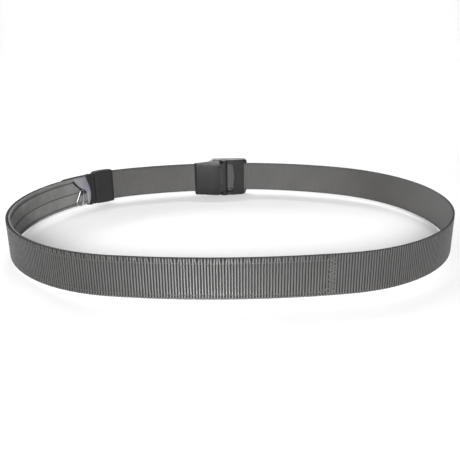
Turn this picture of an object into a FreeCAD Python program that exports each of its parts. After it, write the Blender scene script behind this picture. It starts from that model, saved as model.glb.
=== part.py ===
import FreeCAD, Part
import math
import os

# Money belt: one length of 30 mm webbing closed by a plastic cam buckle, with a thin zipped
# pocket sewn to the inside of the webbing. Units are millimetres and +Z is up: the belt
# stands on edge, +X runs to the wearer's one side, +Y points from the pocket front to the buckle.
# "Outward" means away from the waist and "inward" means towards it.

# ---- driving dimensions ----
BUCKLE_HEIGHT = 39.0
WEBBING_WIDTH = 30.0
WEBBING_THICK = 1.5
MID_Z = BUCKLE_HEIGHT / 2          # mid-height of everything; the buckle stands on Z = 0

LOOP_HALF_LENGTH = 184.0           # the worn loop is an oval of tangent arcs
LOOP_END_RADIUS = 124.0
FRONT_DEPTH = 129.0                # from the oval's centre to the front webbing
BACK_DEPTH = 136.8                 # from the oval's centre to the webbing at the buckle
TAIL_OFFSET = 2.7                  # the free tail lies this far outside the left-hand webbing

KEEPER_START_DEG, KEEPER_END_DEG = 120.6, 129.6      # places round the left end of the oval
BINDING_START_DEG, BINDING_END_DEG = 130.1, 134.6
SLIDER_DEG = 137.0
FLAP_END_DEG = 141.8
TAIL_TIP_DEG = 146.0
POCKET_END_X = 69.2                # the pocket's far end, on the front webbing

POCKET_GAP = 1.8                   # between the webbing and the zip tape
LINING_THICK = 0.3
TAPE_THICK = 0.5
COIL_THICK = 0.9
COIL_WIDTH = 1.8
ZIP_Z = MID_Z - 0.5
ZIP_HALF_GAP = 0.6

BUCKLE_X = -10.4                   # the buckle's middle on the back webbing
BUCKLE_LEFT, BUCKLE_RIGHT = -13.0, 29.4    # the frame's ends, from the buckle's middle
BRIDGE_RIGHT = 25.8
CHEEK_THICK = 3.5
PLATE_GAP = 0.45
PLATE_THICK = 2.0
PIN_X, PIN_Y = 4.6, -4.6           # in the buckle's own plan axes
PIN_RADIUS = 1.8
HUB_CLEARANCE = 0.06

# ---- the oval: every arc touches its neighbours without a corner ----
END_CENTRE_X = LOOP_HALF_LENGTH - LOOP_END_RADIUS
LEFT_BACK_DEPTH = BACK_DEPTH - TAIL_OFFSET
HALF = WEBBING_THICK / 2


def flank(depth):
    """Radius of the long arc at this depth, and the angle where it meets the end arc."""
    radius = (END_CENTRE_X ** 2 + depth ** 2 - LOOP_END_RADIUS ** 2) / (2 * (depth - LOOP_END_RADIUS))
    return radius, math.degrees(math.atan2(radius - depth, END_CENTRE_X))


FRONT_RADIUS, FRONT_MEET = flank(FRONT_DEPTH)
RIGHT_BACK_RADIUS, RIGHT_BACK_MEET = flank(BACK_DEPTH)
LEFT_BACK_RADIUS, LEFT_BACK_MEET = flank(LEFT_BACK_DEPTH)
FRONT_CENTRE_Y = FRONT_RADIUS - FRONT_DEPTH
RIGHT_BACK_CENTRE_Y = BACK_DEPTH - RIGHT_BACK_RADIUS
LEFT_BACK_CENTRE_Y = LEFT_BACK_DEPTH - LEFT_BACK_RADIUS
TAIL_RADIUS = LEFT_BACK_RADIUS + TAIL_OFFSET


# ---- plan paths: a path is a list of arcs and lines, travelled anticlockwise round the loop ----
def arc(centre_x, centre_y, radius, start_deg, end_deg):
    return ("arc", centre_x, centre_y, radius, start_deg, end_deg)


def left_end(start_deg, end_deg, offset=0.0):
    return arc(-END_CENTRE_X, 0.0, LOOP_END_RADIUS + offset, start_deg, end_deg)


def point_on(centre_x, centre_y, radius, degrees):
    turn = math.radians(degrees)
    return centre_x + radius * math.cos(turn), centre_y + radius * math.sin(turn)


def turtle(x, y, heading, moves):
    """A path from a starting place, as straight moves and tangent turns (left is positive)."""
    path = []
    for kind, size, turn in moves:
        if kind == "go":
            end_x = x + size * math.cos(math.radians(heading))
            end_y = y + size * math.sin(math.radians(heading))
            path.append(("line", x, y, end_x, end_y))
        else:
            side = math.copysign(90.0, turn)
            centre_x, centre_y = point_on(x, y, size, heading + side)
            path.append(arc(centre_x, centre_y, size, heading - side, heading - side + turn))
            end_x, end_y = point_on(centre_x, centre_y, size, heading - side + turn)
            heading += turn
        x, y = end_x, end_y
    return path


def reverse(path):
    turned = []
    for piece in reversed(path):
        if piece[0] == "line":
            turned.append(("line", piece[3], piece[4], piece[1], piece[2]))
        else:
            turned.append(arc(piece[1], piece[2], piece[3], piece[5], piece[4]))
    return turned


def vector(x, y, z=0.0):
    return FreeCAD.Vector(x, y, z)


def offset_edges(path, offset):
    """The path moved outward (to the right of travel), as edges with their end points."""
    edges = []
    for piece in path:
        if piece[0] == "line":
            _, x0, y0, x1, y1 = piece
            length = math.hypot(x1 - x0, y1 - y0)
            shift = vector((y1 - y0) / length * offset, -(x1 - x0) / length * offset)
            start, end = vector(x0, y0) + shift, vector(x1, y1) + shift
            edges.append((Part.LineSegment(start, end).toShape(), start, end))
        else:
            _, cx, cy, radius, a0, a1 = piece
            side = 1.0 if a1 > a0 else -1.0
            start, middle, end = [vector(*point_on(cx, cy, radius + side * offset, a))
                                  for a in (a0, (a0 + a1) / 2, a1)]
            edges.append((Part.Arc(start, middle, end).toShape(), start, end))
    return edges


def band(path, inner, outer, low, high):
    """A strip standing on edge between two offsets from the path, from Z low to Z high."""
    inside, outside = offset_edges(path, inner), offset_edges(path, outer)
    edges = [edge for edge, _, _ in inside + outside]
    edges.append(Part.LineSegment(inside[0][1], outside[0][1]).toShape())
    edges.append(Part.LineSegment(inside[-1][2], outside[-1][2]).toShape())
    face = Part.Face(Part.Wire(Part.__sortEdges__(edges)))
    face.translate(vector(0, 0, low))
    return face.extrude(vector(0, 0, high - low))


def prism(points, low, high):
    """A plan polygon extruded upwards; a triple (x, y, "mid") bends the next corner into an arc."""
    edges, start, middle = [], vector(*points[0][:2]), None
    for point in points[1:] + points[:1]:
        here = vector(*point[:2])
        if len(point) == 3:
            middle = here
            continue
        if middle is None:
            edges.append(Part.LineSegment(start, here).toShape())
        else:
            edges.append(Part.Arc(start, middle, here).toShape())
        start, middle = here, None
    face = Part.Face(Part.Wire(edges))
    face.translate(vector(0, 0, low))
    return face.extrude(vector(0, 0, high - low))


def box(x0, x1, y0, y1, z0, z1):
    return Part.makeBox(x1 - x0, y1 - y0, z1 - z0, vector(x0, y0, z0))


def rounded_face(x0, x1, z0, z1, corners, depth):
    """A rectangle seen from inside the loop, with its four corner radii, extruded along Y."""
    low_left, low_right, high_right, high_left = corners
    spots = [(x0 + low_left, z0 + low_left, 180, low_left),
             (x1 - low_right, z0 + low_right, 270, low_right),
             (x1 - high_right, z1 - high_right, 0, high_right),
             (x0 + high_left, z1 - high_left, 90, high_left)]
    ends = []
    for cx, cz, turn, radius in spots:
        ends.append([vector(cx + radius * math.cos(math.radians(turn + step)), -depth,
                            cz + radius * math.sin(math.radians(turn + step))) for step in (0, 45, 90)])
    edges = []
    for place, (start, middle, end) in enumerate(ends):
        edges.append(Part.Arc(start, middle, end).toShape())
        edges.append(Part.LineSegment(end, ends[(place + 1) % 4][0]).toShape())
    return Part.Face(Part.Wire(edges)).extrude(vector(0, 2 * depth, 0))


# ---- frames: the buckle's plan axes, and a small frame at a place on the left end ----
BUCKLE_Y = LEFT_BACK_CENTRE_Y + math.sqrt(TAIL_RADIUS ** 2 - BUCKLE_X ** 2)
BUCKLE_TURN = math.degrees(math.asin(-BUCKLE_X / TAIL_RADIUS))


def to_buckle(shape):
    """Places a shape drawn in the buckle's axes: x along the webbing, y outward, z from mid-height."""
    turn = FreeCAD.Rotation(vector(0, 0, 1), BUCKLE_TURN)
    shape.Placement = FreeCAD.Placement(vector(BUCKLE_X, BUCKLE_Y, MID_Z), turn).multiply(shape.Placement)
    return shape


def to_left_end(shape, degrees):
    """Places a shape drawn with x outward, y round the loop and z up, at an angle on the left end."""
    x, y = point_on(-END_CENTRE_X, 0.0, LOOP_END_RADIUS, degrees)
    turn = FreeCAD.Rotation(vector(0, 0, 1), degrees)
    shape.Placement = FreeCAD.Placement(vector(x, y, 0), turn).multiply(shape.Placement)
    return shape


# ---- webbing ----
FOLD_START_DEG = 98.4              # where the fixed webbing leaves the back arc, inside the buckle
FOLD_BEND = 40.0
FOLD_DEPTH = -5.3                  # the folded end's inner layer, in the buckle's own y
FOLD_RADIUS = 1.45
BAR_NOSE_X = -7.0


def fixed_end():
    """From the raw end, round the buckle's bar and out to the back arc."""
    x, y = point_on(0.0, LEFT_BACK_CENTRE_Y, LEFT_BACK_RADIUS, FOLD_START_DEG)
    turn = math.radians(BUCKLE_TURN)
    local_x = (x - BUCKLE_X) * math.cos(turn) + (y - BUCKLE_Y) * math.sin(turn)
    local_y = -(x - BUCKLE_X) * math.sin(turn) + (y - BUCKLE_Y) * math.cos(turn)
    heading = FOLD_START_DEG - 90.0 - BUCKLE_TURN
    drop = local_y - FOLD_DEPTH
    swing = math.degrees(math.acos((1 + math.cos(math.radians(heading)) - drop / FOLD_BEND) / 2))
    run = FOLD_BEND * (math.sin(math.radians(heading)) + 2 * math.sin(math.radians(swing)))
    straight = BAR_NOSE_X - (local_x + run)
    moves = [("turn", FOLD_BEND, -(heading + swing)), ("turn", FOLD_BEND, swing), ("go", straight, 0),
             ("turn", FOLD_RADIUS, 180.0), ("go", 9.0, 0)]
    return reverse(turtle(x, y, FOLD_START_DEG - 90.0, moves))


def webbing_path():
    path = fixed_end()
    path.append(arc(0.0, LEFT_BACK_CENTRE_Y, LEFT_BACK_RADIUS, FOLD_START_DEG, 180.0 - LEFT_BACK_MEET))
    path.append(left_end(180.0 - LEFT_BACK_MEET, 180.0 + FRONT_MEET))
    path.append(arc(0.0, FRONT_CENTRE_Y, FRONT_RADIUS, 180.0 + FRONT_MEET, 360.0 - FRONT_MEET))
    path.append(arc(END_CENTRE_X, 0.0, LOOP_END_RADIUS, 360.0 - FRONT_MEET, 360.0 + RIGHT_BACK_MEET))
    path.append(arc(0.0, RIGHT_BACK_CENTRE_Y, RIGHT_BACK_RADIUS, RIGHT_BACK_MEET, 90.0))
    path.append(arc(0.0, LEFT_BACK_CENTRE_Y, TAIL_RADIUS, 90.0, 180.0 - LEFT_BACK_MEET))
    path.append(left_end(180.0 - LEFT_BACK_MEET, TAIL_TIP_DEG, TAIL_OFFSET))
    return path


WEBBING_LOW = MID_Z - WEBBING_WIDTH / 2
WEBBING_HIGH = MID_Z + WEBBING_WIDTH / 2


def make_webbing():
    return band(webbing_path(), -HALF, HALF, WEBBING_LOW, WEBBING_HIGH)


# ---- pocket: lining, zip tapes, coils, stops, end flap, binding and thread ----
TAPE_OUTER = -(HALF + POCKET_GAP)
TAPE_INNER = TAPE_OUTER - TAPE_THICK
TAPE_MARGIN = 0.6                  # the tapes stop this far inside the webbing's edges
STITCH_INSET_HIGH, STITCH_INSET_LOW = 4.2, 3.3
THREAD = 0.4


def pocket_path(start_deg, end_x):
    """From a place on the left end round to a place on the front webbing."""
    stop = 270.0 + math.degrees(math.asin(end_x / FRONT_RADIUS))
    return [left_end(start_deg, 180.0 + FRONT_MEET),
            arc(0.0, FRONT_CENTRE_Y, FRONT_RADIUS, 180.0 + FRONT_MEET, stop)]


TAPE_START_DEG = 131.0
POCKET = pocket_path(TAPE_START_DEG, POCKET_END_X)


def make_lining():
    return band(POCKET, -HALF - 0.1 - LINING_THICK, -HALF - 0.1, WEBBING_LOW + 1.2, WEBBING_HIGH - 1.2)


def make_tapes():
    upper = band(POCKET, TAPE_INNER, TAPE_OUTER, ZIP_Z + ZIP_HALF_GAP, WEBBING_HIGH - TAPE_MARGIN)
    lower = band(POCKET, TAPE_INNER, TAPE_OUTER, WEBBING_LOW + TAPE_MARGIN, ZIP_Z - ZIP_HALF_GAP)
    return upper, lower


COIL_START_DEG = BINDING_END_DEG + 1.2
COIL_END_X = POCKET_END_X - 14.0


def make_coils():
    path = pocket_path(COIL_START_DEG, COIL_END_X)
    outer = TAPE_OUTER + COIL_THICK
    near, far = ZIP_HALF_GAP, ZIP_HALF_GAP + COIL_WIDTH
    return (band(path, TAPE_OUTER, outer, ZIP_Z + near, ZIP_Z + far),
            band(path, TAPE_OUTER, outer, ZIP_Z - far, ZIP_Z - near))


def make_top_stops():
    """A crimped clip on each tape's edge, beside the closed slider."""
    stops = []
    for low in (ZIP_Z + 0.35, ZIP_Z - 2.35):
        path = [left_end(BINDING_END_DEG + 0.05, BINDING_END_DEG + 0.5)]
        stops.append(band(path, TAPE_INNER - 0.5, TAPE_INNER, low, low + 2.0))
    return Part.makeCompound(stops)


def make_bottom_stop():
    turn = 270.0 + math.degrees(math.asin((COIL_END_X + 1.5) / FRONT_RADIUS))
    path = [arc(0.0, FRONT_CENTRE_Y, FRONT_RADIUS, turn - 0.14, turn + 0.14)]
    return band(path, TAPE_INNER - 0.6, TAPE_INNER, ZIP_Z - 2.4, ZIP_Z + 2.4)


def make_flap():
    """The upper tape's end, turned back over the closed slider's end as a slanting flap."""
    path = [left_end(BINDING_END_DEG + 0.1, FLAP_END_DEG)]
    strip = band(path, TAPE_INNER - 1.0, TAPE_INNER - 0.6, WEBBING_LOW + 3.0, WEBBING_HIGH - 1.0)
    reach = LOOP_END_RADIUS * math.radians(FLAP_END_DEG - BINDING_END_DEG) + 3.0
    beside_slider, over_slider = 1.4, ZIP_Z + 3.7
    edge = [(beside_slider, WEBBING_LOW - 5), (beside_slider, over_slider), (5.2, over_slider + 3.0),
            (reach, WEBBING_HIGH - 3.2), (reach, WEBBING_LOW - 5)]
    corners = [vector(-20, y, z) for y, z in edge + edge[:1]]
    cutter = Part.Face(Part.makePolygon(corners)).extrude(vector(40, 0, 0))
    return strip.cut(to_left_end(cutter, BINDING_END_DEG))


BINDING_WALL = 0.6
BINDING_GAP = 0.1


def sleeve(start_deg, end_deg, inner, outer, half_height, wall):
    """A flat tube that wraps the layers between two offsets."""
    path = [left_end(start_deg, end_deg)]
    skin = band(path, inner - wall, outer + wall, MID_Z - half_height - wall, MID_Z + half_height + wall)
    return skin.cut(band([left_end(start_deg - 1, end_deg + 1)], inner, outer,
                         MID_Z - half_height, MID_Z + half_height))


def make_binding():
    return sleeve(BINDING_START_DEG, BINDING_END_DEG, TAPE_INNER - BINDING_GAP, HALF + BINDING_GAP,
                  WEBBING_WIDTH / 2 + BINDING_GAP, BINDING_WALL)


KEEPER_WALL = 1.1
KEEPER_INNER = -HALF - 0.5
KEEPER_OUTER = TAIL_OFFSET + HALF + 0.35


def make_keeper():
    return sleeve(KEEPER_START_DEG, KEEPER_END_DEG, KEEPER_INNER, KEEPER_OUTER,
                  WEBBING_WIDTH / 2 + 0.4, KEEPER_WALL)


def make_binding_stitching():
    """Two upright rows of thread on the binding's inner face."""
    rows = []
    face = TAPE_INNER - BINDING_GAP - BINDING_WALL
    for degrees in (BINDING_START_DEG + 0.9, BINDING_END_DEG - 0.7):
        path = [left_end(degrees - 0.1, degrees + 0.1)]
        rows.append(band(path, face - THREAD, face, WEBBING_LOW + 1.0, WEBBING_HIGH - 1.0))
    return Part.makeCompound(rows)


def make_stitch_row(low):
    """A row of thread along the pocket's edge, on the outside of the webbing."""
    return band(pocket_path(TAIL_TIP_DEG + 1.0, POCKET_END_X - 6.0), HALF, HALF + THREAD, low, low + THREAD)


BAR_TACK_X = 66.5
BAR_TACK_WIDTH = 5.2


def make_bar_tack():
    """The upright zigzag that closes the pocket's far end."""
    start = 270.0 + math.degrees(math.asin((BAR_TACK_X - BAR_TACK_WIDTH / 2) / FRONT_RADIUS))
    end = 270.0 + math.degrees(math.asin((BAR_TACK_X + BAR_TACK_WIDTH / 2) / FRONT_RADIUS))
    path = [arc(0.0, FRONT_CENTRE_Y, FRONT_RADIUS, start, end)]
    return band(path, HALF, HALF + 0.5, WEBBING_LOW + 1.2, WEBBING_HIGH - 1.2)


# ---- zip slider and its wire puller, drawn with x outward, y round the loop and z up ----
ARCH_FOOT_Y = 1.9
ARCH_LOW = TAPE_INNER - 0.15 - 0.9
WIRE = 1.2
WIRE_X = ARCH_LOW - 0.25 - WIRE / 2
PULLER_LEAN = 16.0


def plan_plate(x0, x1, outline):
    """A thin plate between two depths, from its outline in y and z."""
    points = [vector(x0, y, ZIP_Z + z) for y, z in outline + outline[:1]]
    return Part.Face(Part.makePolygon(points)).extrude(vector(x1 - x0, 0, 0))


def make_slider():
    wings = [(-3.4, 2.2), (1.6, 3.3), (3.6, 3.1), (4.4, 1.2), (4.4, -1.2), (3.6, -3.1), (1.6, -3.3),
             (-3.4, -2.2)]
    shape = plan_plate(ARCH_LOW, TAPE_INNER - 0.15, wings)
    shape = shape.fuse(plan_plate(TAPE_OUTER + COIL_THICK + 0.12, -HALF - 0.1 - LINING_THICK - 0.08, wings))
    shape = shape.fuse(box(ARCH_LOW, -HALF - 0.5, -1.0, 2.6, ZIP_Z - 0.42, ZIP_Z + 0.42))
    for foot_y in (-ARCH_FOOT_Y, ARCH_FOOT_Y):
        shape = shape.fuse(box(WIRE_X - WIRE / 2 - 0.9, ARCH_LOW, foot_y - 0.6, foot_y + 0.6,
                               ZIP_Z - 0.7, ZIP_Z + 0.7))
    top = WIRE_X - WIRE / 2 - 0.3
    arch = box(top - 0.8, top, -ARCH_FOOT_Y - 0.6, ARCH_FOOT_Y + 0.6, ZIP_Z - 0.7, ZIP_Z + 0.7)
    return to_left_end(shape.fuse(arch).removeSplitter(), SLIDER_DEG)


def make_puller():
    """A bent wire loop, narrow where it hooks round the slider's arch and wider below."""
    top, waist, foot = 1.9, 3.9, 2.2
    outline = [(-top, 0.4), (-waist, -9.4), (-foot, -13.1), (foot, -13.1), (waist, -9.4), (top, 0.4)]
    spots = [vector(WIRE_X, y, z) for y, z in outline]
    edges = [Part.LineSegment(a, b).toShape() for a, b in zip(spots, spots[1:])]
    edges.append(Part.Arc(spots[-1], vector(WIRE_X, 0.0, 0.4 + top), spots[0]).toShape())
    bottom = vector(WIRE_X, 0.0, outline[2][1])
    middle = Part.Wire([Part.LineSegment(bottom, spots[3]).toShape()] + edges[3:] + edges[:2]
                       + [Part.LineSegment(spots[2], bottom).toShape()])
    circle = Part.Wire(Part.makeCircle(WIRE / 2, bottom, vector(0, 1, 0)))
    loop = middle.makePipeShell([circle], True, True, 2)
    loop.rotate(vector(WIRE_X, 0, 0), vector(1, 0, 0), PULLER_LEAN)
    loop.translate(vector(0, ARCH_FOOT_Y, ZIP_Z))
    return to_left_end(loop, SLIDER_DEG)


# ---- buckle, drawn in its own axes with z from mid-height ----
HALF_HEIGHT = BUCKLE_HEIGHT / 2
CHANNEL = HALF_HEIGHT - CHEEK_THICK


def strap_path(x_from, x_to):
    """The free webbing's line through the buckle, between two world X places."""
    right = math.degrees(math.acos(x_to / RIGHT_BACK_RADIUS))
    left = math.degrees(math.acos(x_from / TAIL_RADIUS))
    return [arc(0.0, RIGHT_BACK_CENTRE_Y, RIGHT_BACK_RADIUS, right, 90.0),
            arc(0.0, LEFT_BACK_CENTRE_Y, TAIL_RADIUS, 90.0, left)]


def make_frame():
    left, right = BUCKLE_X + BUCKLE_LEFT, BUCKLE_X + BUCKLE_RIGHT
    near, far = HALF + PLATE_GAP, HALF + PLATE_GAP + PLATE_THICK
    plate = band(strap_path(left, right), near, far, 0.0, BUCKLE_HEIGHT)
    boss = 4.0
    cheek_end = BUCKLE_RIGHT - 0.8
    cheek = [(-15.0, 1.4), (-11.5, -5.6), (0.6, -5.6), (PIN_X, PIN_Y - boss, "mid"),
             (PIN_X + 3.4, PIN_Y - 2.1), (14.0, -7.0), (BRIDGE_RIGHT, -4.4), (cheek_end, -1.6),
             (cheek_end, 0.2), (14.0, 1.4)]
    shape = plate
    for low in (-HALF_HEIGHT, CHANNEL):
        shape = shape.fuse(to_buckle(prism(cheek, low, low + CHEEK_THICK)))
    bridge = prism([(10.0, 0.0), (10.0, -7.3), (14.0, -7.0), (BRIDGE_RIGHT, -4.4),
                    (BRIDGE_RIGHT, 0.0)], -CHANNEL - 0.5, CHANNEL + 0.5)
    channel = band(strap_path(left - 2, right + 2), -HALF - PLATE_GAP, HALF + PLATE_GAP, 0.0, BUCKLE_HEIGHT)
    bridge = to_buckle(bridge).cut(channel)
    bow = Part.makeCylinder(49.0, 40.0, vector(15.6 - 49.0, -20.0, 0.0), vector(0, 1, 0))
    bridge = bridge.cut(to_buckle(bow))
    shape = shape.fuse(bridge)
    bar = prism([(-11.0, -4.5), (BAR_NOSE_X, -4.5), (BAR_NOSE_X + 0.65, -3.85, "mid"), (BAR_NOSE_X, -3.2),
                 (-11.0, -3.2)], -CHANNEL - 0.5, CHANNEL + 0.5)
    shape = shape.fuse(to_buckle(bar))
    hole = Part.makeCylinder(PIN_RADIUS, BUCKLE_HEIGHT + 2, vector(PIN_X, PIN_Y, -HALF_HEIGHT - 1))
    shape = shape.cut(to_buckle(hole))
    outline = rounded_face(BUCKLE_LEFT, BUCKLE_RIGHT, -HALF_HEIGHT, HALF_HEIGHT, (7, 6, 4, 7), 30.0)
    return shape.common(to_buckle(outline)).removeSplitter()


def make_pin():
    foot = vector(PIN_X, PIN_Y, -HALF_HEIGHT + 0.3)
    return to_buckle(Part.makeCylinder(PIN_RADIUS, BUCKLE_HEIGHT - 0.6, foot))


LEVER_LEFT, LEVER_RIGHT = -27.6, -0.9        # the cover plate's ends
LEVER_BACK, LEVER_CROWN = -6.4, -9.2         # its face towards the webbing and the crown of its dome
LEVER_DOME = 125.0                           # radius of the same dome from top to bottom
LEVER_EDGE = HALF_HEIGHT - 0.1
TAPER_LOW, TAPER_HIGH = 1.6, 2.6             # how much lower the plate is at its free end
TOOTH_ANGLES = (60, 80, 100, 120)
TOOTH_ROOT, TOOTH_REACH, TOOTH_HALF_DEG = 2.6, 3.55, 10
HUB_RADIUS = 3.2
HUB_HALF = CHANNEL - 0.35


def upright_prism(outline):
    """A prism along the buckle's y, from an outline in x and z."""
    corners = [vector(x, -20.0, z) for x, z in outline + outline[:1]]
    return Part.Face(Part.makePolygon(corners)).extrude(vector(0, 40, 0))


def make_lever():
    """The domed cover plate, its toothed cam round the pin, and the slot between them."""
    plate = prism([(LEVER_LEFT, -5.4), (LEVER_LEFT + 1.7, LEVER_BACK), (LEVER_RIGHT, LEVER_BACK),
                   (LEVER_RIGHT, -8.4), (-14.0, LEVER_CROWN, "mid"), (LEVER_LEFT + 2.3, -8.2),
                   (LEVER_LEFT, -6.9)], -LEVER_EDGE, LEVER_EDGE)
    corners = (4.0, 1.6, 1.6, 4.0)
    plate = plate.common(rounded_face(LEVER_LEFT, LEVER_RIGHT, -LEVER_EDGE, LEVER_EDGE, corners, 30.0))
    start = vector(LEVER_LEFT - 5, LEVER_CROWN + LEVER_DOME, 0)
    plate = plate.common(Part.makeCylinder(LEVER_DOME, 40.0, start, vector(1, 0, 0)))
    for side, taper in ((-1, TAPER_LOW), (1, TAPER_HIGH)):
        narrow, wide, beyond = side * (LEVER_EDGE - taper), side * LEVER_EDGE, side * (LEVER_EDGE + 5)
        plate = plate.cut(upright_prism([(LEVER_LEFT - 1, narrow), (LEVER_RIGHT, wide),
                                         (LEVER_RIGHT + 1, beyond), (LEVER_LEFT - 1, beyond)]))
    web = box(LEVER_RIGHT - 2.0, PIN_X, -7.8, LEVER_BACK, -HUB_HALF, HUB_HALF)
    hub = Part.makeCylinder(HUB_RADIUS - 0.2, 2 * HUB_HALF, vector(PIN_X, PIN_Y, -HUB_HALF))
    hub = hub.fuse(prism([(PIN_X - HUB_RADIUS, PIN_Y), (PIN_X, PIN_Y - HUB_RADIUS, "mid"),
                          (PIN_X + HUB_RADIUS, PIN_Y)], -HUB_HALF, HUB_HALF))
    for degrees in TOOTH_ANGLES:
        corners = [point_on(PIN_X, PIN_Y, reach, degrees + swing) for reach, swing in
                   ((TOOTH_ROOT, -TOOTH_HALF_DEG), (TOOTH_REACH, 0), (TOOTH_ROOT, TOOTH_HALF_DEG))]
        hub = hub.fuse(prism([(x, y) for x, y in corners], -HUB_HALF, HUB_HALF))
    slot = upright_prism([(-1.5, 12.0), (0.9, 12.0), (1.6, 10.6), (2.3, -9.4), (1.1, -9.4), (0.2, 9.0),
                          (-1.5, 10.6)])
    shape = plate.fuse(web).fuse(hub).cut(slot)
    bore = Part.makeCylinder(PIN_RADIUS + HUB_CLEARANCE, 4 * HUB_HALF, vector(PIN_X, PIN_Y, -2 * HUB_HALF))
    return to_buckle(shape.cut(bore).removeSplitter())


def make_fixed_end_stitching():
    """A tack of upright stitches through both layers of the folded end."""
    stitches = []
    for row in range(8):
        low = -12.0 + 3.1 * row
        stitches.append(to_buckle(box(-14.6, -13.8, -6.35, -1.45, low, low + 2.2)))
    return Part.makeCompound(stitches)


# ---- write the nodes, with the origin under the middle of the whole belt's box ----
MIDDLE_X = -THREAD / 2
MIDDLE_Y = (BACK_DEPTH + HALF + PLATE_GAP + PLATE_THICK - (FRONT_DEPTH + HALF + THREAD)) / 2


def main():
    upper_tape, lower_tape = make_tapes()
    upper_coil, lower_coil = make_coils()
    nodes = {
        "webbing_strap": make_webbing(),
        "buckle_frame": make_frame(),
        "buckle_lever": make_lever(),
        "pivot_pin": make_pin(),
        "fixed_end_stitching": make_fixed_end_stitching(),
        "keeper_loop": make_keeper(),
        "pocket_lining": make_lining(),
        "pocket_end_binding": make_binding(),
        "binding_stitching": make_binding_stitching(),
        "zip_tape_upper": upper_tape,
        "zip_tape_lower": lower_tape,
        "zip_coil_upper": upper_coil,
        "zip_coil_lower": lower_coil,
        "zip_top_stops": make_top_stops(),
        "zip_bottom_stop": make_bottom_stop(),
        "tape_end_flap": make_flap(),
        "zip_slider": make_slider(),
        "zip_puller": make_puller(),
        "stitch_row_upper": make_stitch_row(WEBBING_HIGH - STITCH_INSET_HIGH),
        "stitch_row_lower": make_stitch_row(WEBBING_LOW + STITCH_INSET_LOW - THREAD),
        "bar_tack": make_bar_tack(),
    }
    os.makedirs("parts", exist_ok=True)
    for name, shape in nodes.items():
        shape.translate(vector(-MIDDLE_X, -MIDDLE_Y, 0))
        print(name, "valid", shape.isValid(), "solids", len(shape.Solids), "volume", round(shape.Volume, 1))
        shape.exportStep("parts/" + name + ".step")


main()
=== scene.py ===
import math
import random

import bmesh
import bpy
import numpy as np
from mathutils import Matrix, Vector
from mathutils.noise import noise as noise_at


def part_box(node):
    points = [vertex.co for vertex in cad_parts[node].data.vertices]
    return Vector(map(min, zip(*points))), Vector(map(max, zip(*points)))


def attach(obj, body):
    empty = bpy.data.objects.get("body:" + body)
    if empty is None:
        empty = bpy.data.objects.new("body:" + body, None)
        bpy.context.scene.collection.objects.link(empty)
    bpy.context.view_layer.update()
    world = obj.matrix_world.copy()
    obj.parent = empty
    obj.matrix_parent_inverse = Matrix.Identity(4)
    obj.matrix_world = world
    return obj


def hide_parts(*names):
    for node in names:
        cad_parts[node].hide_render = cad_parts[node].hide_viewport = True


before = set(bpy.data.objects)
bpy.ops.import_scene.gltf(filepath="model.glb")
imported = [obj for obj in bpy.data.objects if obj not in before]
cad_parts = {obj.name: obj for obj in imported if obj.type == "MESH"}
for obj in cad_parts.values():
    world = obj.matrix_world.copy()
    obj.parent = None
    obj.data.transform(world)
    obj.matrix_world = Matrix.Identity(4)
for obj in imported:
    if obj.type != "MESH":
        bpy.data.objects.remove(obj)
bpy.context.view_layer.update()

random.seed(7)

# ---- dimensions in metres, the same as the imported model's ----
MM = 0.001
MID_Z = 19.5 * MM
WEB_WIDTH, WEB_THICK = 30.0 * MM, 1.5 * MM
HALF = WEB_THICK / 2
LOOP_HALF_LENGTH, END_RADIUS = 184.0 * MM, 124.0 * MM
FRONT_DEPTH, BACK_DEPTH, TAIL_OFFSET = 129.0 * MM, 136.8 * MM, 2.7 * MM
KEEPER_DEG, BINDING_DEG = (120.6, 129.6), (130.1, 134.6)     # about the centre of the loop's left end
TAIL_TIP_DEG, TAPE_START_DEG = 146.0, 131.0
POCKET_END_X, BUCKLE_X = 69.2 * MM, -10.4 * MM              # from the loop's middle
TAPE_OUTER, ZIP_Z = -2.55 * MM, 19.0 * MM
FOLD_START_DEG, FOLD_BEND, FOLD_DEPTH, FOLD_RADIUS = 98.4, 40.0 * MM, -5.3 * MM, 1.45 * MM
BAR_NOSE_X, FOLD_RETURN = -7.0 * MM, 9.0 * MM

END_X = LOOP_HALF_LENGTH - END_RADIUS
LEFT_BACK_DEPTH = BACK_DEPTH - TAIL_OFFSET
WEB_LOW, WEB_HIGH = MID_Z - WEB_WIDTH / 2, MID_Z + WEB_WIDTH / 2

strap_low, strap_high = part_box("webbing_strap")
CENTRE_X = strap_high[0] - LOOP_HALF_LENGTH - HALF       # the oval's centre in the row frame
CENTRE_Y = strap_low[1] + FRONT_DEPTH + HALF


def flank(depth):
    """Radius of the long arc at this depth, and the angle where it meets the end arc."""
    radius = (END_X ** 2 + depth ** 2 - END_RADIUS ** 2) / (2 * (depth - END_RADIUS))
    return radius, math.degrees(math.atan2(radius - depth, END_X))


FRONT_RADIUS, FRONT_MEET = flank(FRONT_DEPTH)
RIGHT_RADIUS, RIGHT_MEET = flank(BACK_DEPTH)
LEFT_RADIUS, LEFT_MEET = flank(LEFT_BACK_DEPTH)
TAIL_RADIUS = LEFT_RADIUS + TAIL_OFFSET
FRONT_ARC = (CENTRE_X, CENTRE_Y + FRONT_RADIUS - FRONT_DEPTH)
RIGHT_ARC = (CENTRE_X, CENTRE_Y + BACK_DEPTH - RIGHT_RADIUS)
LEFT_ARC = (CENTRE_X, CENTRE_Y + LEFT_BACK_DEPTH - LEFT_RADIUS)
LEFT_END = (CENTRE_X - END_X, CENTRE_Y)
RIGHT_END = (CENTRE_X + END_X, CENTRE_Y)
BUCKLE_TURN = math.degrees(math.asin(-BUCKLE_X / TAIL_RADIUS))
BUCKLE_AT = (CENTRE_X + BUCKLE_X, LEFT_ARC[1] + math.sqrt(TAIL_RADIUS ** 2 - BUCKLE_X ** 2))


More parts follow.
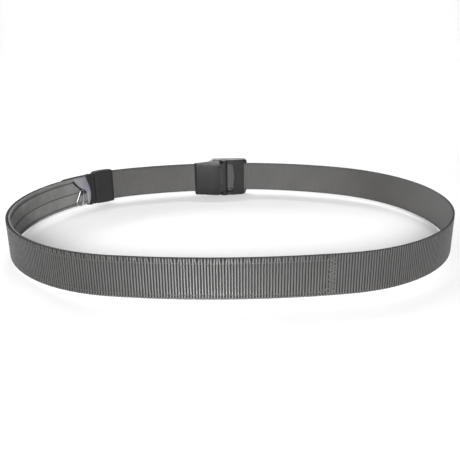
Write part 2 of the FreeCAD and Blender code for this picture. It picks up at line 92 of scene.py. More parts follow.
# ---- plan paths: lists of arcs and lines, travelled anticlockwise, outward on the right ----
def spot(centre, radius, degrees):
    turn = math.radians(degrees)
    return centre[0] + radius * math.cos(turn), centre[1] + radius * math.sin(turn)


def arc(centre, radius, start, end):
    return ("arc", centre, radius, start, end)


def turtle(at, heading, moves):
    """A path of straight moves and tangent turns (left is positive) from a starting place."""
    path = []
    for size, turn in moves:
        if turn == 0:
            end = spot(at, size, heading)
            path.append(("line", at, end))
        else:
            side = math.copysign(90.0, turn)
            centre = spot(at, size, heading + side)
            path.append(arc(centre, size, heading - side, heading - side + turn))
            end = spot(centre, size, heading - side + turn)
            heading += turn
        at = end
    return path


def reverse(path):
    turned = []
    for piece in reversed(path):
        if piece[0] == "line":
            turned.append(("line", piece[2], piece[1]))
        else:
            turned.append(arc(piece[1], piece[2], piece[4], piece[3]))
    return turned


def length_of(piece):
    if piece[0] == "line":
        return math.dist(piece[1], piece[2])
    return piece[2] * math.radians(abs(piece[4] - piece[3]))


def path_length(path):
    return sum(length_of(piece) for piece in path)


def follow(path, distances):
    """Plan points and outward normals at distances along the path, as arrays of pairs."""
    lengths = [length_of(piece) for piece in path]
    starts = np.concatenate([[0.0], np.cumsum(lengths)])
    points, normals = [], []
    for s in distances:
        k = min(max(int(np.searchsorted(starts, s, side="right")) - 1, 0), len(path) - 1)
        share = (s - starts[k]) / lengths[k]
        piece = path[k]
        if piece[0] == "line":
            (x0, y0), (x1, y1) = piece[1], piece[2]
            points.append((x0 + (x1 - x0) * share, y0 + (y1 - y0) * share))
            normals.append(((y1 - y0) / lengths[k], (x0 - x1) / lengths[k]))
        else:
            degrees = piece[3] + (piece[4] - piece[3]) * share
            side = 1.0 if piece[4] > piece[3] else -1.0
            points.append(spot(piece[1], piece[2], degrees))
            normals.append(spot((0.0, 0.0), side, degrees))
    return np.array(points), np.array(normals)


def left_end(start, end, offset=0.0):
    return arc(LEFT_END, END_RADIUS + offset, start, end)


def fixed_end():
    """From the raw end of the webbing, round the buckle's bar and out to the back arc."""
    x, y = spot(LEFT_ARC, LEFT_RADIUS, FOLD_START_DEG)
    turn = math.radians(BUCKLE_TURN)
    local_x = (x - BUCKLE_AT[0]) * math.cos(turn) + (y - BUCKLE_AT[1]) * math.sin(turn)
    local_y = -(x - BUCKLE_AT[0]) * math.sin(turn) + (y - BUCKLE_AT[1]) * math.cos(turn)
    heading = FOLD_START_DEG - 90.0 - BUCKLE_TURN
    drop = local_y - FOLD_DEPTH
    swing = math.degrees(math.acos((1 + math.cos(math.radians(heading)) - drop / FOLD_BEND) / 2))
    run = FOLD_BEND * (math.sin(math.radians(heading)) + 2 * math.sin(math.radians(swing)))
    straight = BAR_NOSE_X - (local_x + run)
    moves = [(FOLD_BEND, -(heading + swing)), (FOLD_BEND, swing), (straight, 0),
             (FOLD_RADIUS, 180.0), (FOLD_RETURN, 0)]
    return reverse(turtle((x, y), FOLD_START_DEG - 90.0, moves))


def webbing_path():
    return fixed_end() + [
        arc(LEFT_ARC, LEFT_RADIUS, FOLD_START_DEG, 180.0 - LEFT_MEET),
        left_end(180.0 - LEFT_MEET, 180.0 + FRONT_MEET),
        arc(FRONT_ARC, FRONT_RADIUS, 180.0 + FRONT_MEET, 360.0 - FRONT_MEET),
        arc(RIGHT_END, END_RADIUS, 360.0 - FRONT_MEET, 360.0 + RIGHT_MEET),
        arc(RIGHT_ARC, RIGHT_RADIUS, RIGHT_MEET, 90.0),
        arc(LEFT_ARC, TAIL_RADIUS, 90.0, 180.0 - LEFT_MEET),
        left_end(180.0 - LEFT_MEET, TAIL_TIP_DEG, TAIL_OFFSET)]


def pocket_path(start_deg, end_x):
    """From a place on the left end round to a place on the front webbing."""
    stop = 270.0 + math.degrees(math.asin(end_x / FRONT_RADIUS))
    return [left_end(start_deg, 180.0 + FRONT_MEET),
            arc(FRONT_ARC, FRONT_RADIUS, 180.0 + FRONT_MEET, stop)]


# ---- meshes ----
def new_object(name, vertices, faces, material=None, uvs=None):
    mesh = bpy.data.meshes.new(name)
    mesh.from_pydata([tuple(v) for v in vertices], [], [tuple(f) for f in faces])
    if uvs is not None:
        layer = mesh.uv_layers.new(name="weave")
        loops = np.empty(len(mesh.loops), dtype=np.int64)
        mesh.loops.foreach_get("vertex_index", loops)
        layer.data.foreach_set("uv", np.asarray(uvs, dtype=np.float32)[loops].ravel())
    mesh.polygons.foreach_set("use_smooth", [True] * len(mesh.polygons))
    if material:
        mesh.materials.append(material)
    mesh.update()
    thing = bpy.data.objects.new(name, mesh)
    bpy.context.scene.collection.objects.link(thing)
    return thing


def grid_faces(rows, columns, close_rows=False, close_columns=False):
    faces = []
    for i in range(rows if close_rows else rows - 1):
        a, b = i * columns, ((i + 1) % rows) * columns
        for j in range(columns if close_columns else columns - 1):
            k = (j + 1) % columns
            faces.append((a + j, b + j, b + k, a + k))
    return faces


def outward(thing):
    """Makes every face point out of the solid."""
    work = bmesh.new()
    work.from_mesh(thing.data)
    bmesh.ops.recalc_face_normals(work, faces=work.faces)
    work.to_mesh(thing.data)
    work.free()
    return thing


# ---- material helpers ----
class Nodes:
    """Short calls for a node material's tree."""

    def __init__(self, name):
        self.material = bpy.data.materials.new(name)
        self.material.use_nodes = True
        self.tree = self.material.node_tree
        self.shader = self.tree.nodes["Principled BSDF"]

    def add(self, kind, inputs=(), **settings):
        node = self.tree.nodes.new(kind)
        for key, value in settings.items():
            setattr(node, key, value)
        for key, value in dict(inputs).items():
            if isinstance(value, bpy.types.NodeSocket):
                self.tree.links.new(value, node.inputs[key])
            else:
                node.inputs[key].default_value = value
        return node

    def math(self, operation, a, b=0.0):
        return self.add("ShaderNodeMath", {0: a, 1: b}, operation=operation).outputs[0]

    def noise(self, vector, scale, detail=3.0, roughness=0.55):
        return self.add("ShaderNodeTexNoise", {"Vector": vector, "Scale": scale, "Detail": detail,
                                               "Roughness": roughness}).outputs["Fac"]

    def ramp(self, factor, stops):
        node = self.add("ShaderNodeValToRGB", {0: factor})
        elements = node.color_ramp.elements
        while len(elements) < len(stops):
            elements.new(0.5)
        for element, (place, colour) in zip(elements, stops):
            element.position = place
            element.color = (*colour, 1.0)
        return node.outputs["Color"]

    def bump(self, height, strength, distance, below=None):
        inputs = {"Height": height, "Strength": strength, "Distance": distance}
        if below is not None:
            inputs["Normal"] = below
        return self.add("ShaderNodeBump", inputs).outputs["Normal"]

    def mix(self, blend, first, second):
        node = self.add("ShaderNodeMix", data_type="RGBA", blend_type=blend)
        node.inputs["Factor"].default_value = 1.0
        self.tree.links.new(first, node.inputs[6])
        self.tree.links.new(second, node.inputs[7])
        return node.outputs[2]

    def place(self):
        return self.add("ShaderNodeTexCoord").outputs["Object"]

    def weave(self):
        """The piece's own cloth coordinates: x along it and y across it, in metres."""
        split = self.add("ShaderNodeSeparateXYZ", {0: self.add("ShaderNodeUVMap", uv_map="weave").outputs[0]})
        return split.outputs[0], split.outputs[1]

    def set(self, **values):
        for key, value in values.items():
            socket = self.shader.inputs[key.replace("_", " ")]
            if isinstance(value, bpy.types.NodeSocket):
                self.tree.links.new(value, socket)
            else:
                socket.default_value = value
        return self.material


def shades(colour, low, high):
    return tuple(c * low for c in colour), tuple(c * high for c in colour)


def grey(value):
    return value, value, value


WEB_PATH = webbing_path()
WEB_LENGTH = path_length(WEB_PATH)
RIBS = round(WEB_LENGTH / (1.95 * MM))           # whole ribs, as near this pitch as the length allows
RIB_PITCH = WEB_LENGTH / RIBS


def lay(path, along, offset, height):
    """Points in space at distances along a path, at offsets outward from it and at heights."""
    along, offset, height = np.broadcast_arrays(along, offset, height)
    points, normals = follow(path, along.ravel())
    plan = points + normals * offset.reshape(-1, 1)
    return np.column_stack([plan, height.ravel()]).reshape(along.shape + (3,))


def loft(name, rings, material, uvs=None, closed=False):
    """Joins closed rings of points, given as an array, into one solid."""
    count, size = rings.shape[:2]
    faces = grid_faces(count, size, close_rows=closed, close_columns=True)
    if not closed:
        faces.append(tuple(range(size)))
        faces.append(tuple((count - 1) * size + j for j in reversed(range(size))))
    flat_uvs = None if uvs is None else uvs.reshape(-1, 2)
    return outward(new_object(name, rings.reshape(-1, 3), faces, material, flat_uvs))


def fit(thing, body, slot, *nodes):
    """Rides on a body and stands for the CAD nodes, hiding them. The slot argument is not used."""
    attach(thing, body)
    if nodes:
        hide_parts(*nodes)
    return thing


def noise(x, y, seed):
    """Smooth repeatable noise between about -1 and 1."""
    return noise_at(Vector((x, y, seed * 7.31)))


def web_distance(piece, degrees):
    """Distance along the webbing to an angle on one of its path's arcs."""
    share = (degrees - WEB_PATH[piece][3]) / (WEB_PATH[piece][4] - WEB_PATH[piece][3])
    return path_length(WEB_PATH[:piece]) + share * length_of(WEB_PATH[piece])


LEFT_PIECE = next(k for k, piece in enumerate(WEB_PATH) if piece[0] == "arc" and piece[2] == END_RADIUS)
FRONT_PIECE = LEFT_PIECE + 1


def front_degrees(x):
    """The front arc's angle at a place x from the oval's middle."""
    return 270.0 + math.degrees(math.asin(x / FRONT_RADIUS))


SEAM_START = web_distance(LEFT_PIECE, TAIL_TIP_DEG + 1.0)   # the outer rows start beside the tail's tip
SEAM_END = web_distance(FRONT_PIECE, front_degrees(POCKET_END_X - 6.0 * MM))
SEAM_HIGH, SEAM_LOW = WEB_HIGH - 4.2 * MM, WEB_LOW + 3.3 * MM


# ---- webbing: one cord-like rib after another, pressed in along the seams ----
WEB_YARN, SELVEDGE = 0.62 * MM, 1.2 * MM
CROWN_END, GAP_START, GAP_FLOOR = 0.44, 0.57, 0.78       # from a rib's crown, 0, to the middle of a gap, 1
# CROWN is the cord's own grey. The shoulder colour and the two gap colours are painted shade: darker down the
# rib's sides and near black in the gaps between cords, where shadow falls.
CROWN, SHOULDER_SHADE = (0.068, 0.0668, 0.0645), (0.054, 0.053, 0.0512)
GAP_SHADE, DEEP_GAP_SHADE = (0.006, 0.006, 0.0058), grey(0.001)
GLOSSY, DULL, INNER_FACE_ROUGHNESS, INNER_FLATNESS = 0.31, 0.98, 0.52, 0.49
INNER_MARK = 1.0                                         # metres added to the height on the inner face


def webbing_material():
    """Glossy grey cords with painted shade down their shoulders and in the dark matt gaps between them, a
    dark selvedge and a duller inner face.
    """
    n = Nodes("webbing")
    along, marked = n.weave()
    inner_side = n.math("GREATER_THAN", marked, INNER_MARK / 2)
    across = n.math("SUBTRACT", marked, inner_side)
    ribs = n.math("DIVIDE", along, RIB_PITCH)
    phase = n.math("FRACT", ribs)
    from_crown = n.math("MULTIPLY", n.math("ABSOLUTE", n.math("SUBTRACT", phase, 0.5)), 2.0)
    flatness = n.math("SUBTRACT", 1.0, n.math("MULTIPLY", inner_side, INNER_FLATNESS))
    from_crown = n.math("MULTIPLY", from_crown, flatness)
    alternate = n.math("MULTIPLY", n.math("FLOOR", ribs), 0.5)
    rows = n.math("ADD", n.math("DIVIDE", across, WEB_YARN), alternate)
    yarn = n.math("ABSOLUTE", n.math("SINE", n.math("MULTIPLY", rows, math.pi)))
    mottle = n.noise(n.place(), 45.0)
    fibre = n.noise(n.place(), 1500.0, 2.0)
    tone = n.math("ADD", n.math("MULTIPLY", mottle, 0.5), n.math("MULTIPLY", fibre, 0.5))
    from_middle = n.math("ABSOLUTE", n.math("SUBTRACT", across, MID_Z))
    inward = n.math("DIVIDE", n.math("SUBTRACT", WEB_WIDTH / 2, from_middle), SELVEDGE)
    # Painted shade: the colour falls from the crown down the shoulders to near black in the gaps between the
    # cords.
    cord_and_gap_shade = n.ramp(from_crown, [(0.0, CROWN), (CROWN_END, SHOULDER_SHADE), (GAP_START, GAP_SHADE), (GAP_FLOOR, DEEP_GAP_SHADE)])
    worn = n.ramp(tone, [(0.3, grey(0.78)), (0.7, (1.2, 1.2, 1.19))])
    knuckle = n.ramp(yarn, [(0.0, grey(0.70)), (0.5, grey(1.05))])
    selvedge = n.ramp(inward, [(0.15, grey(0.25)), (0.75, grey(1.0))])
    duller = n.ramp(inner_side, [(0.0, grey(1.0)), (1.0, (0.72, 0.71, 0.70))])
    colour = cord_and_gap_shade
    for layer in (worn, knuckle, selvedge, duller):
        colour = n.mix("MULTIPLY", colour, layer)
    gap_rough = n.ramp(from_crown, [(CROWN_END, grey(GLOSSY)), (GAP_START, grey(DULL))])
    selvedge_rough = n.ramp(inward, [(0.15, grey(0.95)), (0.75, grey(0.30))])
    rough = n.math("MAXIMUM", gap_rough, selvedge_rough)
    rough = n.math("MAXIMUM", rough, n.math("MULTIPLY", inner_side, INNER_FACE_ROUGHNESS))
    n.set(Base_Color=colour, Roughness=rough, Specular_IOR_Level=1.0)
    fine = n.bump(yarn, 1.0, 0.16 * MM)
    return n.set(Normal=n.bump(fibre, 0.15, 0.04 * MM, fine))


HERRINGBONE, SEAM_SHADOW = 2.4 * MM, 1.0 * MM


def tape_material(name, base, pitch=0.7 * MM, weave_depth=0.35, seam_shade_heights=()):
    """Fine herringbone cloth: slanting yarns that change direction, with painted shade along the sewn
    grooves.
    """
    n = Nodes(name)
    along, across = n.weave()
    fold = n.math("PINGPONG", along, HERRINGBONE)
    slant = n.math("DIVIDE", n.math("ADD", fold, across), pitch)
    yarn = n.math("ABSOLUTE", n.math("SINE", n.math("MULTIPLY", slant, math.pi)))
    mottle = n.noise(n.place(), 70.0, 4.0)
    fibre = n.noise(n.place(), 2200.0, 2.0)
    fine_tone = n.math("ADD", n.math("MULTIPLY", fibre, 0.2), n.math("MULTIPLY", yarn, 0.2))
    tone = n.math("ADD", n.math("MULTIPLY", mottle, 0.6), fine_tone)
    low, high = shades(base, 0.72, 1.28)
    colour = n.ramp(tone, [(0.3, low), (0.7, high)])
    # Painted shade: a dark band at each seam height stands in for the shadow in the sewn groove.
    for height in seam_shade_heights:
        from_seam = n.math("DIVIDE", n.math("ABSOLUTE", n.math("SUBTRACT", across, height)), SEAM_SHADOW)
        colour = n.mix("MULTIPLY", colour, n.ramp(from_seam, [(0.35, grey(0.35)), (0.9, grey(1.0))]))
    n.set(Base_Color=colour, Roughness=0.75, Specular_IOR_Level=0.4)
    fine = n.bump(yarn, weave_depth, 0.08 * MM)
    return n.set(Normal=n.bump(fibre, 0.3, 0.05 * MM, fine))


def plastic_material(name, base, roughness):
    """Moulded plastic: a faint grain, with rougher and smoother patches from handling."""
    n = Nodes(name)
    grain = n.noise(n.place(), 3500.0, 2.0)
    patch = n.noise(n.place(), 120.0, 3.0)
    low, high = shades(base, 0.85, 1.2)
    rough = n.math("ADD", n.math("MULTIPLY", patch, 0.2), roughness - 0.1)
    n.set(Base_Color=n.ramp(patch, [(0.3, low), (0.7, high)]), Roughness=rough)
    return n.set(Normal=n.bump(grain, 0.25, 0.04 * MM))


def metal_material(name, base, roughness, metallic=1.0):
    n = Nodes(name)
    scratch = n.noise(n.place(), 900.0, 3.0)
    low, high = shades(base, 0.85, 1.1)
    rough = n.math("ADD", n.math("MULTIPLY", scratch, 0.2), roughness - 0.1)
    n.set(Base_Color=n.ramp(scratch, [(0.3, low), (0.7, high)]), Roughness=rough, Metallic=metallic)
    return n.set(Normal=n.bump(scratch, 0.1, 0.03 * MM))


def thread_material(name, base):
    """Twisted thread: fine slanting strands across every stitch."""
    n = Nodes(name)
    strands = n.add("ShaderNodeTexWave", {"Vector": n.place(), "Scale": 900.0, "Distortion": 1.5},
                    bands_direction="DIAGONAL").outputs["Fac"]
    low, high = shades(base, 0.7, 1.3)
    n.set(Base_Color=n.ramp(strands, [(0.2, low), (0.8, high)]), Roughness=0.5)
    return n.set(Normal=n.bump(strands, 0.4, 0.06 * MM))


MATERIALS = {
    "webbing": webbing_material(),
    "zip_tape": tape_material("zip_tape", (0.145, 0.145, 0.142), seam_shade_heights=(SEAM_HIGH, SEAM_LOW)),
    "flap_tape": tape_material("flap_tape", (0.165, 0.158, 0.178)),
    "lining": tape_material("lining", (0.010, 0.010, 0.011)),
    "black_binding": tape_material("black_binding", (0.008, 0.008, 0.0085)),
    "black_elastic": tape_material("black_elastic", (0.009, 0.009, 0.0095), 0.5 * MM, 0.15),
    "buckle_plastic": plastic_material("buckle_plastic", (0.006, 0.0061, 0.0063), 0.32),
    "zip_coil": plastic_material("zip_coil", (0.30, 0.30, 0.295), 0.5),
    "pin_steel": metal_material("pin_steel", (0.10, 0.10, 0.105), 0.4),
    "zip_metal": metal_material("zip_metal", (0.05, 0.05, 0.054), 0.3, 0.6),
    "puller_wire": metal_material("puller_wire", (0.42, 0.42, 0.43), 0.3),
    "grey_thread": thread_material("grey_thread", (0.088, 0.0868, 0.084)),
    "black_thread": thread_material("black_thread", (0.010, 0.010, 0.0105)),
}

RIB_DEPTH, INNER_RIB_DEPTH, EDGE_DIP = 0.50 * MM, 0.12 * MM, 0.40 * MM
RIB_WOBBLE, RIB_BEND, BEND_HEIGHT = 0.035 * MM, 0.8 * MM, 3.0 * MM
RAW_CORNER = 3.0 * MM
# Across one rib, how far along it each column is and how much of the rib's depth it stands at.
RIB_PHASES = np.array([0.0, 0.13, 0.21, 0.30, 0.70, 0.79, 0.87])
RIB_SWELL = np.array([0.0, 0.08, 0.90, 1.0, 1.0, 0.90, 0.08])
OUTER_HEIGHTS = np.array([0.25, 1.6, 2.7, 3.3, 3.9, 8.0, 15.0, 21.0, 25.2, 25.8, 26.4, 28.2, 29.75]) * MM
INNER_HEIGHTS = np.array([29.75, 27.0, 15.0, 3.0, 0.25]) * MM
SEAM_REACH, SEAM_PRESS = 0.45 * MM, 0.6


def pressed(along, height):
    """1 in the open webbing, less where a seam's thread pulls the ribs down."""
    if not SEAM_START < along < SEAM_END:
        return 1.0
    near = min(abs(height - SEAM_HIGH), abs(height - SEAM_LOW)) / SEAM_REACH
    return 1.0 - SEAM_PRESS * math.exp(-near ** 2)


def make_webbing():
    """The whole length of webbing, as rings of points round it: outer face up, inner face down."""
    draw = random.Random(3)
    crowns = [draw.uniform(0.82, 1.0) for _ in range(RIBS)]
    wobble = np.array([[draw.gauss(0.0, RIB_WOBBLE) for _ in OUTER_HEIGHTS] for _ in range(RIBS)])
    bends = [draw.uniform(-RIB_BEND, RIB_BEND) for _ in range(RIBS)]
    rings, uvs = [], []
    steps = [(rib, k) for rib in range(RIBS) for k in range(len(RIB_PHASES))] + [(RIBS, 0)]
    for rib, k in steps:
        s = (rib + RIB_PHASES[k]) * RIB_PITCH
        row = min(rib, RIBS - 1)
        swell = RIB_SWELL[k] * crowns[row]
        heights = WEB_LOW + OUTER_HEIGHTS
        shift = wobble[row] * (1.0 if 0 < k else 0.0)
        if SEAM_START < s < SEAM_END and row % 2 == 0:
            shift = shift + bends[row] * np.clip((heights - SEAM_HIGH) / BEND_HEIGHT, 0.0, 1.0)
        press = np.array([pressed(s, z) for z in heights])
        outer = HALF - RIB_DEPTH * (1.0 - swell * press)
        inner = -HALF + INNER_RIB_DEPTH * (1.0 - RIB_SWELL[k])
        dip = EDGE_DIP * (1.0 - RIB_SWELL[k])
        offsets = np.concatenate([outer, [(outer[-1] + inner) / 2], np.full(len(INNER_HEIGHTS), inner),
                                  [(outer[0] + inner) / 2]])
        tall = np.concatenate([heights, [WEB_HIGH - dip], WEB_LOW + INNER_HEIGHTS, [WEB_LOW + dip]])
        tall[0] += dip
        tall[len(heights) - 1] -= dip
        left = max(WEB_LENGTH - s, 0.0)
        if left < RAW_CORNER:
            pull = RAW_CORNER - math.sqrt(max(RAW_CORNER ** 2 - (RAW_CORNER - left) ** 2, 0.0))
            tall = MID_Z + (tall - MID_Z) * (1.0 - 0.6 * pull / (WEB_WIDTH / 2))
        along = np.clip(np.concatenate([s + shift, np.full(len(tall) - len(shift), s)]), 0.0, WEB_LENGTH)
        rings.append((along, offsets, tall))
        mark = np.zeros(len(tall))
        mark[len(heights) + 1:-1] = INNER_MARK
        uvs.append(np.column_stack([np.full(len(tall), s), tall + mark]))
    along, offsets, tall = (np.array(part) for part in zip(*rings))
    belt = loft("belt_webbing", lay(WEB_PATH, along, offsets, tall), MATERIALS["webbing"], np.array(uvs))
    fit(belt, "belt", "webbing", "webbing_strap")


# ---- threads: round tubes along short routes ----
def tube_rings(points, radius, sides, closed=False):
    """Rings of points round a route; on a closed route the last ring meets the first."""
    points = np.asarray(points, dtype=float)
    if closed:
        ways = np.roll(points, -1, axis=0) - np.roll(points, 1, axis=0)
    else:
        ways = np.gradient(points, axis=0)
    ways /= np.linalg.norm(ways, axis=1, keepdims=True)
    across = np.cross(ways[0], (0.0, 0.0, 1.0))
    if np.linalg.norm(across) < 0.1:
        across = np.cross(ways[0], (1.0, 0.0, 0.0))
    rings = []
    radii = np.broadcast_to(radius, len(points))
    for point, way, size in zip(points, ways, radii):
        across = across - way * np.dot(across, way)
        across /= np.linalg.norm(across)
        beside = np.cross(way, across)
        turns = np.arange(sides) * (2 * math.pi / sides)
        rings.append(point + size * (np.outer(np.cos(turns), across) + np.outer(np.sin(turns), beside)))
    return np.array(rings)


def tubes(name, routes, radius, material, sides=6, closed=False):
    """One object of many separate tubes."""
    vertices, faces = [], []
    for route in routes:
        rings = tube_rings(route, radius, sides, closed)
        start, count = len(vertices), len(rings)
        for face in grid_faces(count, sides, close_rows=closed, close_columns=True):
            faces.append(tuple(start + v for v in face))
        if not closed:
            faces.append(tuple(start + j for j in range(sides)))
            faces.append(tuple(start + (count - 1) * sides + j for j in reversed(range(sides))))
        vertices.extend(rings.reshape(-1, 3))
    return outward(new_object(name, vertices, faces, material))


THREAD_RADIUS = 0.2 * MM
STITCH_PITCH, STITCH_LENGTH = 3.4 * MM, 2.9 * MM
# One stitch from hole to hole: share of its length, and how far it is out of (+) or down in (-) the cloth.
STITCH_SHAPE = np.array([[0.0, -1.0], [0.06, -0.35], [0.18, 0.0], [0.5, 0.12], [0.82, 0.0],
                         [0.94, -0.35], [1.0, -1.0]])
OUTER_SEAM, OUTER_SINK = HALF - 0.12 * MM, 0.5 * MM
INNER_SEAM, INNER_SINK = -2.02 * MM, -0.4 * MM


def seam(start, end, height, offset, sink, draw):
    """Routes of the stitches of one seam on the webbing's path."""
    routes = []
    for k in range(int((end - start) / STITCH_PITCH)):
        begin = start + k * STITCH_PITCH
        slope = draw.uniform(-0.16, 0.16) * MM
        along = begin + STITCH_SHAPE[:, 0] * STITCH_LENGTH
        offsets = offset + STITCH_SHAPE[:, 1] * sink
        heights = height + slope * (2 * STITCH_SHAPE[:, 0] - 1)
        routes.append(lay(WEB_PATH, along, offsets, heights))
    return routes


def make_seams():
    draw = random.Random(11)
    inner_start = web_distance(LEFT_PIECE, BINDING_DEG[1] + 0.5)
    for name, height in (("upper", SEAM_HIGH), ("lower", SEAM_LOW)):
        routes = seam(SEAM_START, SEAM_END, height, OUTER_SEAM, OUTER_SINK, draw)
        routes += seam(inner_start, SEAM_END, height, INNER_SEAM, INNER_SINK, draw)
        row = tubes("seam_" + name, routes, THREAD_RADIUS, MATERIALS["grey_thread"])
        fit(row, "belt", "grey_thread", "stitch_row_" + name)


BAR_TACK_X, BAR_TACK_WIDTH, BAR_TACK_HEIGHT = 66.5 * MM, 5.0 * MM, 26.4 * MM
TACK_LOW, TACK_HIGH, TACK_STRAY = WEB_LOW + 1.8 * MM, WEB_HIGH - 1.6 * MM, 0.2 * MM
# The zigzags of each face: rise of a stitch, half width as a share of the tack's, and phase.
ZIGZAGS = ((1.75 * MM, 0.5, 0.0), (1.15 * MM, 0.44, 0.6))
ZIGZAG_ARCH = ((0.0, -0.25), (0.2, 0.1), (0.5, 0.25), (0.8, 0.1))
LOCK_STITCHES, LOCK_START, LOCK_STEP = 9, 9.4 * MM, 0.75 * MM


def zigzag(middle, face, lift, step, reach, phase, draw):
    """The route of one upright zigzag: each stitch arches out of the cloth between its two holes."""
    corners = []
    for k in range(int(BAR_TACK_HEIGHT / step) + 1):
        side = (1 if k % 2 else -1) * reach * BAR_TACK_WIDTH
        height = TACK_LOW + (k + phase) * step + draw.uniform(-TACK_STRAY, TACK_STRAY)
        corners.append((middle + side + draw.uniform(-TACK_STRAY, TACK_STRAY), min(height, TACK_HIGH)))
    along, heights, offsets = [], [], []
    for (s0, z0), (s1, z1) in zip(corners, corners[1:]):
        for share, rise in ZIGZAG_ARCH:
            along.append(s0 + (s1 - s0) * share)
            heights.append(z0 + (z1 - z0) * share)
            offsets.append(face + lift * (rise * 0.5 * MM + phase * 0.2 * MM))
    return lay(WEB_PATH, np.array(along), np.array(offsets), np.array(heights))


def make_bar_tack():
    """Two overlapping upright zigzags, and the crossed stitches that lock the lower seam beside them."""
    draw = random.Random(5)
    middle = web_distance(FRONT_PIECE, front_degrees(BAR_TACK_X))
    routes = []
    for face, lift in ((HALF + 0.02 * MM, 1.0), (-1.62 * MM, -1.0)):
        for step, reach, phase in ZIGZAGS:
            routes.append(zigzag(middle, face, lift, step, reach, phase, draw))
    for k in range(LOCK_STITCHES):
        begin = middle - LOCK_START + LOCK_STEP * k
        low = SEAM_LOW + draw.uniform(-1.2, 2.2) * MM
        along = begin + STITCH_SHAPE[:, 0] * draw.uniform(1.6, 2.6) * MM
        heights = low + (2 * STITCH_SHAPE[:, 0] - 1) * draw.uniform(-0.9, 0.9) * MM
        routes.append(lay(WEB_PATH, along, HALF + STITCH_SHAPE[:, 1] * 0.45 * MM, heights))
    tack = tubes("end_tack", routes, 0.23 * MM, MATERIALS["grey_thread"])
    fit(tack, "belt", "grey_thread", "bar_tack")


# ---- pocket ----
POCKET_PATH = pocket_path(TAPE_START_DEG, POCKET_END_X)
POCKET_LENGTH = path_length(POCKET_PATH)


def smooth_step(value):
    value = np.clip(value, 0.0, 1.0)
    return value * value * (3.0 - 2.0 * value)


def cloth_strip(name, path, along, profile, thick, material, ripple):
    """Cloth along a path: profile is (height, offset) pairs from its low edge to its high edge."""
    profile = np.array(profile)
    heights, offsets = profile[:, 0], profile[:, 1]
    spans = np.concatenate([[0.0], np.cumsum(np.hypot(np.diff(heights), np.diff(offsets)))])
    rings, uvs = [], []
    for s in along:
        moved = offsets + np.array([ripple(s, z) for z in heights])
        both = np.concatenate([moved - thick / 2, (moved + thick / 2)[::-1]])
        rings.append((np.full(len(both), s), both, np.concatenate([heights, heights[::-1]])))
        uvs.append(np.column_stack([np.full(len(both), s), np.concatenate([heights, heights[::-1]])]))
    parts = (np.array(part) for part in zip(*rings))
    strip = loft(name, lay(path, *parts), material, np.array(uvs))
    strip["developed"] = float(spans[-1])
    return strip


def closing(s):
    """0 along the pocket, 1 where the bar tack presses the pocket's far end flat."""
    return float(smooth_step((s - (POCKET_LENGTH - 10.0 * MM)) / (7.0 * MM)))


# The tapes' sections, as height and offset from the webbing's middle in millimetres, from low to high.
UPPER_TAPE = [(19.42, -2.70), (19.6, -2.80), (22.4, -2.80), (23.2, -2.88), (24.8, -3.15), (27.0, -3.10),
              (28.8, -2.65), (29.7, -2.2), (30.3, -1.75), (30.9, -2.15), (31.7, -2.6), (32.8, -2.75),
              (33.6, -2.45), (33.9, -1.7)]
LOWER_TAPE = [(5.1, -1.7), (5.4, -2.4), (6.1, -2.65), (6.9, -2.45), (7.4, -2.1), (7.8, -1.75),
              (8.3, -2.15), (8.9, -2.5), (9.5, -2.35), (10.4, -2.9), (12.6, -3.15), (14.8, -2.88),
              (15.6, -2.80), (18.4, -2.80), (18.58, -2.70)]
PRESSED_FLAT = -1.5 * MM                         # a tape's offset where the bar tack holds it
ZIP_FLAT = 3.6 * MM                              # half the height that the slider passes along
PUCKER_HEIGHT = 1.6 * MM


def profile_of(groove):
    """Heights and offsets of the tape that this groove belongs to, in metres."""
    pairs = np.array(UPPER_TAPE if groove > ZIP_Z else LOWER_TAPE) * MM
    return pairs[:, 0], pairs[:, 1]


def tape_ripple(seed, groove):
    """Slow waves in the free cloth, a tuck at every stitch, and none where the slider or the tack is."""
    def ripple(s, z):
        short_wave = 0.22 * noise(s / (9.0 * MM), z / (6.0 * MM), seed)
        long_wave = 0.16 * noise(s / (24.0 * MM), z / (14.0 * MM), seed + 1)
        drift = 2.0 * noise(s / (15.0 * MM), 0.0, seed)
        pucker = math.exp(-((z - groove) / PUCKER_HEIGHT) ** 2)
        tucks = 0.14 * pucker * math.sin(2 * math.pi * s / STITCH_PITCH + drift)
        from_zip = max(abs(z - ZIP_Z) - ZIP_FLAT, 0.0)
        free = min(abs(z - groove) / (2.0 * MM), 1.0) * min(from_zip / (3.0 * MM), 1.0)
        press = closing(s)
        level = ((short_wave + long_wave) * free + tucks) * MM * (1 - press)
        return level + press * (PRESSED_FLAT - np.interp(z, *profile_of(groove)))
    return ripple


TAPE_STEP, TAPE_THICK, LINING_THICK, LINING_LEVEL = 0.85 * MM, 0.45 * MM, 0.24 * MM, -0.95 * MM


def make_pocket():
    along = np.linspace(0.0, POCKET_LENGTH, int(POCKET_LENGTH / TAPE_STEP))
    for name, profile, groove, seed in (("upper", UPPER_TAPE, SEAM_HIGH, 1),
                                        ("lower", LOWER_TAPE, SEAM_LOW, 5)):
        pairs = [(z * MM, offset * MM) for z, offset in profile]
        tape = cloth_strip("zip_tape_cloth_" + name, POCKET_PATH, along, pairs, TAPE_THICK,
                           MATERIALS["zip_tape"], tape_ripple(seed, groove))
        fit(tape, "belt", "zip_tape", "zip_tape_" + name)
    pairs = [(WEB_LOW + (1.2 + 27.6 * share) * MM, LINING_LEVEL) for share in np.linspace(0, 1, 9)]
    lining = cloth_strip("pocket_lining_cloth", POCKET_PATH, along[::4], pairs, LINING_THICK,
                         MATERIALS["lining"], lambda s, z: 0.0)
    fit(lining, "belt", "lining", "pocket_lining")


COIL_PITCH, COIL_WIRE = 1.27 * MM, 0.16 * MM
COIL_HALF_HEIGHT, COIL_HALF_DEPTH, COIL_SPACING = 0.75 * MM, 0.25 * MM, 2.0 * MM


